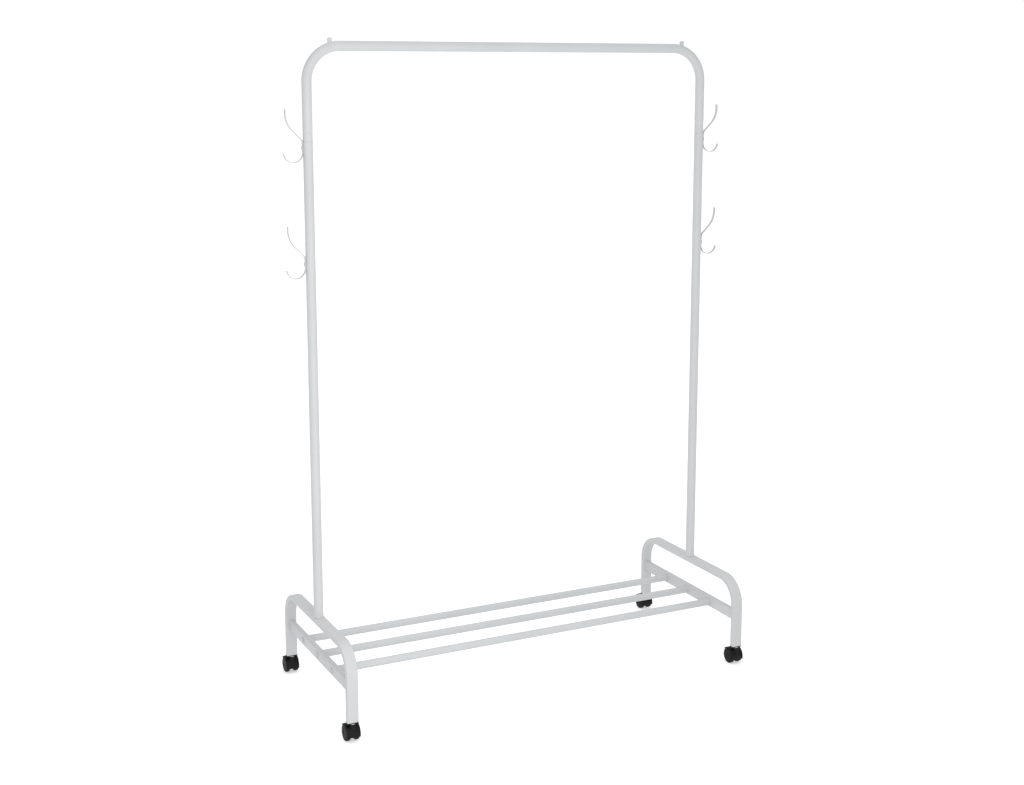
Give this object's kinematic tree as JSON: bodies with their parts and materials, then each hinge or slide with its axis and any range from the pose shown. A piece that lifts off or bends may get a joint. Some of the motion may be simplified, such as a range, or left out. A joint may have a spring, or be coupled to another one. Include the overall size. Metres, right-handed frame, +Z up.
{
  "type": "rolling clothes rack",
  "caption": "Free-standing garment rack: inverted-U hanging bar on round uprights, strip hooks at the sides, bent end frames joined by low shelf rails, on twin-wheel casters.",
  "frame": {"origin": "middle of the whole rack's box, at floor level; the casters trail towards the back, so the uprights and the bar stand 11.7 mm in front of it, at y = -11.7 mm", "axes": "+X along the hanging bar, to the right seen from the front; +Y towards the back, where the casters trail; +Z up"},
  "size_m": [1.2782, 0.5354, 1.738],
  "materials": {
    "white_coat": "satin powder coat",
    "zinc": "zinc plated",
    "black_plastic": "moulded, satin",
    "wheel_plastic": "moulded, satin",
    "inner_plastic": "moulded"
  },
  "bodies": {
    "frame": {"hanging_bar": "white_coat", "top_peg_left": "white_coat", "upright_left": "white_coat", "upright_insert_left": "inner_plastic", "base_bolt_left": "zinc", "end_frame_left": "white_coat", "crossbar_left": "white_coat", "rail_insert_left_front": "inner_plastic", "rail_bolt_left_front": "white_coat", "rail_insert_left_middle": "inner_plastic", "rail_bolt_left_middle": "white_coat", "rail_insert_left_back": "inner_plastic", "rail_bolt_left_back": "white_coat", "hook_left_upper": "white_coat", "hook_screw_left_upper": "white_coat", "hook_left_lower": "white_coat", "hook_screw_left_lower": "white_coat", "top_peg_right": "white_coat", "upright_right": "white_coat", "upright_insert_right": "inner_plastic", "base_bolt_right": "zinc", "end_frame_right": "white_coat", "crossbar_right": "white_coat", "rail_insert_right_front": "inner_plastic", "rail_bolt_right_front": "white_coat", "rail_insert_right_middle": "inner_plastic", "rail_bolt_right_middle": "white_coat", "rail_insert_right_back": "inner_plastic", "rail_bolt_right_back": "white_coat", "hook_right_upper": "white_coat", "hook_screw_right_upper": "white_coat", "hook_right_lower": "white_coat", "hook_screw_right_lower": "white_coat", "shelf_rail_front": "white_coat", "shelf_rail_middle": "white_coat", "shelf_rail_back": "white_coat", "leg_plug_left_front": "black_plastic", "caster_stem_left_front": "zinc", "leg_plug_right_front": "black_plastic", "caster_stem_right_front": "zinc", "leg_plug_left_back": "black_plastic", "caster_stem_left_back": "zinc", "leg_plug_right_back": "black_plastic", "caster_stem_right_back": "zinc"},
    "caster_left_front": {"caster_body_left_front": "black_plastic", "caster_axle_left_front": "black_plastic"},
    "wheel_outer_left_front": {"wheel_outer_left_front": "wheel_plastic"},
    "wheel_inner_left_front": {"wheel_inner_left_front": "wheel_plastic"},
    "caster_right_front": {"caster_body_right_front": "black_plastic", "caster_axle_right_front": "black_plastic"},
    "wheel_outer_right_front": {"wheel_outer_right_front": "wheel_plastic"},
    "wheel_inner_right_front": {"wheel_inner_right_front": "wheel_plastic"},
    "caster_left_back": {"caster_body_left_back": "black_plastic", "caster_axle_left_back": "black_plastic"},
    "wheel_outer_left_back": {"wheel_outer_left_back": "wheel_plastic"},
    "wheel_inner_left_back": {"wheel_inner_left_back": "wheel_plastic"},
    "caster_right_back": {"caster_body_right_back": "black_plastic", "caster_axle_right_back": "black_plastic"},
    "wheel_outer_right_back": {"wheel_outer_right_back": "wheel_plastic"},
    "wheel_inner_right_back": {"wheel_inner_right_back": "wheel_plastic"}
  },
  "joints": [
    {"name": "swivel_left_front", "type": "hinge", "parent": "frame", "child": "caster_left_front", "pos_m": [-0.575, -0.2567, 0.0366], "axis": [0, 0, 1], "continuous": true},
    {"name": "outer_wheel_spin_left_front", "type": "hinge", "parent": "caster_left_front", "child": "wheel_outer_left_front", "pos_m": [-0.575, -0.2437, 0.0215], "axis": [1, 0, 0], "continuous": true},
    {"name": "inner_wheel_spin_left_front", "type": "hinge", "parent": "caster_left_front", "child": "wheel_inner_left_front", "pos_m": [-0.575, -0.2437, 0.0215], "axis": [1, 0, 0], "continuous": true},
    {"name": "swivel_right_front", "type": "hinge", "parent": "frame", "child": "caster_right_front", "pos_m": [0.575, -0.2567, 0.0366], "axis": [0, 0, 1], "continuous": true},
    {"name": "outer_wheel_spin_right_front", "type": "hinge", "parent": "caster_right_front", "child": "wheel_outer_right_front", "pos_m": [0.575, -0.2437, 0.0215], "axis": [1, 0, 0], "continuous": true},
    {"name": "inner_wheel_spin_right_front", "type": "hinge", "parent": "caster_right_front", "child": "wheel_inner_right_front", "pos_m": [0.575, -0.2437, 0.0215], "axis": [1, 0, 0], "continuous": true},
    {"name": "swivel_left_back", "type": "hinge", "parent": "frame", "child": "caster_left_back", "pos_m": [-0.575, 0.2333, 0.0366], "axis": [0, 0, 1], "continuous": true},
    {"name": "outer_wheel_spin_left_back", "type": "hinge", "parent": "caster_left_back", "child": "wheel_outer_left_back", "pos_m": [-0.575, 0.2463, 0.0215], "axis": [1, 0, 0], "continuous": true},
    {"name": "inner_wheel_spin_left_back", "type": "hinge", "parent": "caster_left_back", "child": "wheel_inner_left_back", "pos_m": [-0.575, 0.2463, 0.0215], "axis": [1, 0, 0], "continuous": true},
    {"name": "swivel_right_back", "type": "hinge", "parent": "frame", "child": "caster_right_back", "pos_m": [0.575, 0.2333, 0.0366], "axis": [0, 0, 1], "continuous": true},
    {"name": "outer_wheel_spin_right_back", "type": "hinge", "parent": "caster_right_back", "child": "wheel_outer_right_back", "pos_m": [0.575, 0.2463, 0.0215], "axis": [1, 0, 0], "continuous": true},
    {"name": "inner_wheel_spin_right_back", "type": "hinge", "parent": "caster_right_back", "child": "wheel_inner_right_back", "pos_m": [0.575, 0.2463, 0.0215], "axis": [1, 0, 0], "continuous": true}
  ]
}
